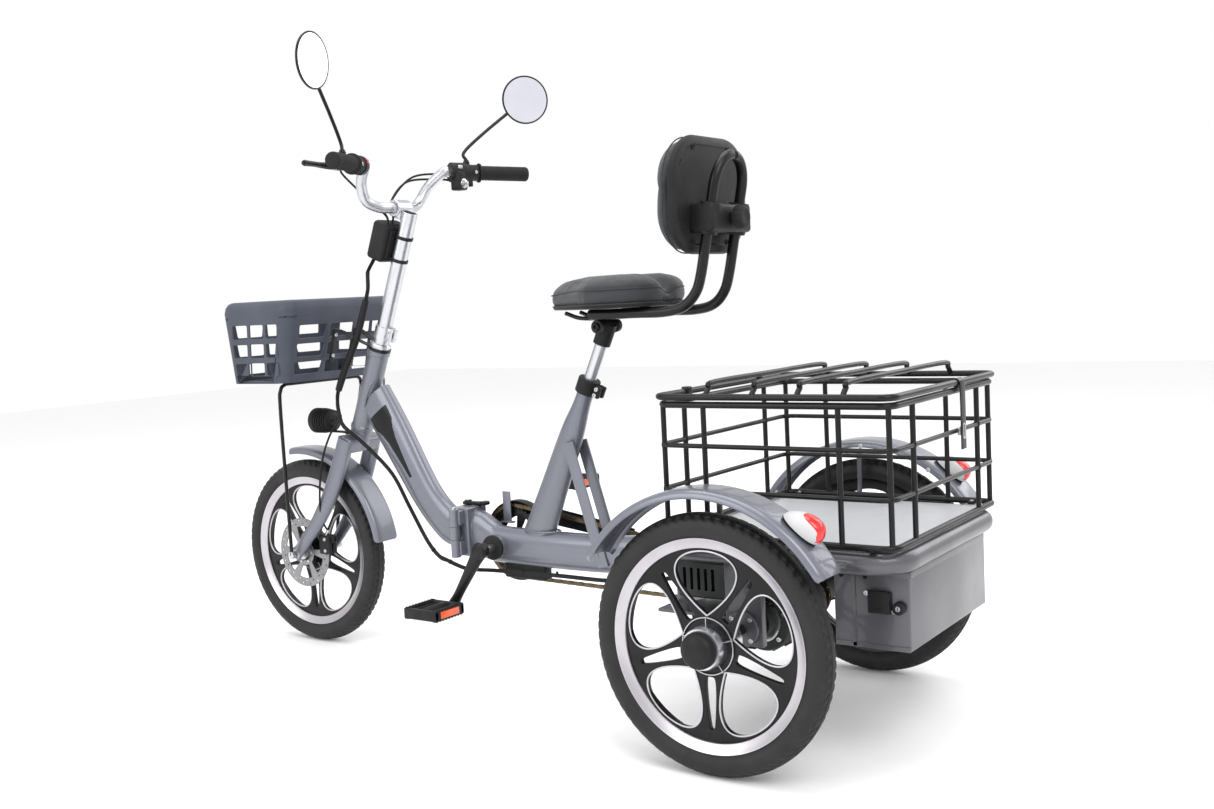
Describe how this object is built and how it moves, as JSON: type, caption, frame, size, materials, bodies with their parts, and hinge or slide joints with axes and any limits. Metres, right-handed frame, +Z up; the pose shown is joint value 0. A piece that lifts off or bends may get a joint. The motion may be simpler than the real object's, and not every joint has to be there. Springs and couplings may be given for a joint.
{
  "type": "adult folding electric tricycle",
  "caption": "Step-through folding electric tricycle with a front basket, padded seat and backrest, and a wire cargo cage with a hinged lid over the rear deck.",
  "frame": {"origin": "on the ground under the middle of the tricycle, on its centre plane", "axes": "-Y is forward, +X is the rider's left, +Z is up"},
  "size_m": [0.738, 1.7365, 1.2794],
  "materials": {
    "frame_paint": "metallic grey-blue paint, satin-gloss",
    "dark_paint": "darker warm-grey paint",
    "deck_sheet": "light grey sheet, matt",
    "black_gloss": "gloss black powder coat",
    "black_plastic": "moulded black plastic, fine grain",
    "tyre_rubber": "black rubber with tread",
    "grip_rubber": "black ribbed rubber",
    "alloy_black": "gloss black cast alloy with machined bright edges",
    "silver": "satin silver",
    "steel": "plated steel",
    "leatherette": "dark grey leatherette, sewn",
    "basket_plastic": "slate moulded plastic",
    "motor_casting": "dark cast housing",
    "lamp_base": "white-grey lamp housing with a red lens",
    "chain_steel": "oiled chain, brass-brown"
  },
  "bodies": {
    "chassis": {"rear_frame": "frame_paint", "rear_subframe": "dark_paint", "deck_panel": "deck_sheet", "rear_box": "dark_paint", "battery_pack": "black_plastic", "controller_case": "black_plastic", "drive_motor": "motor_casting", "seat_clamp": "black_plastic", "chain": "chain_steel", "cargo_cage": "black_gloss", "rear_fender_left": "frame_paint", "rear_fender_right": "frame_paint", "tail_light_left": "lamp_base", "tail_light_right": "lamp_base", "cable_rear": "black_plastic"},
    "wheel_left": {"rear_wheel_left": "alloy_black", "rear_tyre_left": "tyre_rubber"},
    "wheel_right": {"rear_wheel_right": "alloy_black", "rear_tyre_right": "tyre_rubber"},
    "cap": {"charge_cap": "black_plastic"},
    "lock": {"box_lock": "black_plastic"},
    "lid": {"cage_lid": "black_gloss"},
    "hasp": {"lid_hasp": "black_gloss"},
    "seat": {"seatpost": "silver", "seat_frame": "black_gloss", "saddle_pad": "leatherette"},
    "backrest": {"backrest_shell": "black_plastic", "backrest_pad": "leatherette"},
    "knob": {"backrest_knob": "black_plastic"},
    "crankset": {"crank_left": "black_gloss", "crank_right": "black_gloss", "chainring": "steel"},
    "left_pedal": {"pedal_left": "black_plastic"},
    "right_pedal": {"pedal_right": "black_plastic"},
    "sprocket": {"rear_sprocket": "steel"},
    "front_section": {"front_frame": "frame_paint", "cable_frame": "black_plastic"},
    "latch": {"fold_latch": "black_gloss"},
    "steering": {"fork": "frame_paint", "stem": "silver", "handlebar": "silver", "front_fender": "frame_paint", "display_case": "black_plastic", "basket": "basket_plastic", "basket_stays": "black_gloss", "front_caliper": "black_plastic", "grip_left": "grip_rubber", "brake_perch_left": "black_plastic", "control_pod_right": "black_plastic", "cable_steering": "black_plastic"},
    "lamp": {"headlight": "black_plastic"},
    "throttle": {"throttle_grip": "grip_rubber"},
    "lever_left": {"brake_lever_left": "black_gloss"},
    "lever_right": {"brake_lever_right": "black_gloss"},
    "key": {"ignition_key": "steel"},
    "left_mirror": {"mirror_left": "black_gloss"},
    "right_mirror": {"mirror_right": "black_gloss"},
    "wheel_front": {"front_wheel": "alloy_black", "front_tyre": "tyre_rubber", "front_rotor": "silver"}
  },
  "joints": [
    {"name": "frame_fold", "type": "hinge", "parent": "chassis", "child": "front_section", "pos_m": [0.045, -0.19, 0.237], "axis": [0, 0, 1], "range_deg": [0, 135]},
    {"name": "fold_latch_turn", "type": "hinge", "parent": "front_section", "child": "latch", "pos_m": [-0.015, -0.202, 0.337], "axis": [0, 0, 1], "range_deg": [0, 90]},
    {"name": "steering_turn", "type": "hinge", "parent": "front_section", "child": "steering", "pos_m": [0, -0.48853, 0.49462], "axis": [0, 0.3746, 0.9272], "range_deg": [-45, 45]},
    {"name": "front_wheel_spin", "type": "hinge", "parent": "steering", "child": "wheel_front", "pos_m": [0, -0.665, 0.21], "axis": [1, 0, 0], "continuous": true},
    {"name": "rear_wheel_left_spin", "type": "hinge", "parent": "chassis", "child": "wheel_left", "pos_m": [0.313, 0.575, 0.21], "axis": [1, 0, 0], "continuous": true},
    {"name": "rear_wheel_right_spin", "type": "hinge", "parent": "chassis", "child": "wheel_right", "pos_m": [-0.313, 0.575, 0.21], "axis": [1, 0, 0], "continuous": true},
    {"name": "crank_spin", "type": "hinge", "parent": "chassis", "child": "crankset", "pos_m": [0, -0.097, 0.262], "axis": [1, 0, 0], "continuous": true},
    {"name": "sprocket_spin", "type": "hinge", "parent": "chassis", "child": "sprocket", "pos_m": [-0.04, 0.575, 0.21], "axis": [1, 0, 0], "continuous": true},
    {"name": "pedal_left_spin", "type": "hinge", "parent": "crankset", "child": "left_pedal", "pos_m": [0.079, -0.17417, 0.14759], "axis": [1, 0, 0], "continuous": true},
    {"name": "pedal_right_spin", "type": "hinge", "parent": "crankset", "child": "right_pedal", "pos_m": [-0.079, -0.01983, 0.37641], "axis": [1, 0, 0], "continuous": true},
    {"name": "lid_open", "type": "hinge", "parent": "chassis", "child": "lid", "pos_m": [0, 0.437, 0.591], "axis": [1, 0, 0], "range_deg": [0, 70]},
    {"name": "hasp_lift", "type": "hinge", "parent": "lid", "child": "hasp", "pos_m": [-0.046, 0.853, 0.591], "axis": [1, 0, 0], "range_deg": [0, 90]},
    {"name": "charge_cap_open", "type": "hinge", "parent": "chassis", "child": "cap", "pos_m": [0.1805, 0.8, 0.286], "axis": [0, -1, 0], "range_deg": [0, 100]},
    {"name": "box_lock_turn", "type": "hinge", "parent": "chassis", "child": "lock", "pos_m": [0.172, 0.832, 0.262], "axis": [1, 0, 0], "range_deg": [0, 90]},
    {"name": "seat_height", "type": "slide", "parent": "chassis", "child": "seat", "axis": [0, 0.4226, 0.9063], "range_m": [-0.06, 0.05]},
    {"name": "backrest_height", "type": "slide", "parent": "seat", "child": "backrest", "axis": [0, 0.2118, 0.9773], "range_m": [-0.05, 0.02]},
    {"name": "knob_turn", "type": "hinge", "parent": "backrest", "child": "knob", "pos_m": [0, 0.4723, 0.8875], "axis": [0, 1, 0], "continuous": true},
    {"name": "headlight_tilt", "type": "hinge", "parent": "steering", "child": "lamp", "pos_m": [0, -0.52137, 0.47553], "axis": [1, 0, 0], "range_deg": [-10, 10]},
    {"name": "throttle_twist", "type": "hinge", "parent": "steering", "child": "throttle", "pos_m": [-0.18855, -0.27049, 1.04377], "axis": [-0.8832, 0.4683, -0.0267], "range_deg": [0, 70], "stiffness_Nm_per_rad": 0.35},
    {"name": "brake_lever_left_pull", "type": "hinge", "parent": "steering", "child": "lever_left", "pos_m": [0.19658, -0.30698, 1.04403], "axis": [0, 0, 1], "range_deg": [0, 14], "stiffness_Nm_per_rad": 1.5},
    {"name": "brake_lever_right_pull", "type": "hinge", "parent": "steering", "child": "lever_right", "pos_m": [-0.19658, -0.30698, 1.04403], "axis": [0, 0, -1], "range_deg": [0, 14], "stiffness_Nm_per_rad": 1.5},
    {"name": "key_turn", "type": "hinge", "parent": "steering", "child": "key", "pos_m": [-0.14063, -0.26884, 1.01916], "axis": [0, 1, 0], "range_deg": [0, 90]},
    {"name": "mirror_left_turn", "type": "hinge", "parent": "steering", "child": "left_mirror", "pos_m": [0.18566, -0.29919, 1.06249], "axis": [0, 0, 1], "range_deg": [-30, 30]},
    {"name": "mirror_right_turn", "type": "hinge", "parent": "steering", "child": "right_mirror", "pos_m": [-0.18566, -0.29919, 1.06249], "axis": [0, 0, 1], "range_deg": [-30, 30]}
  ],
  "couplings": [
    {"joint": "sprocket_spin", "follows": "crank_spin", "ratio": 2.3333}
  ]
}
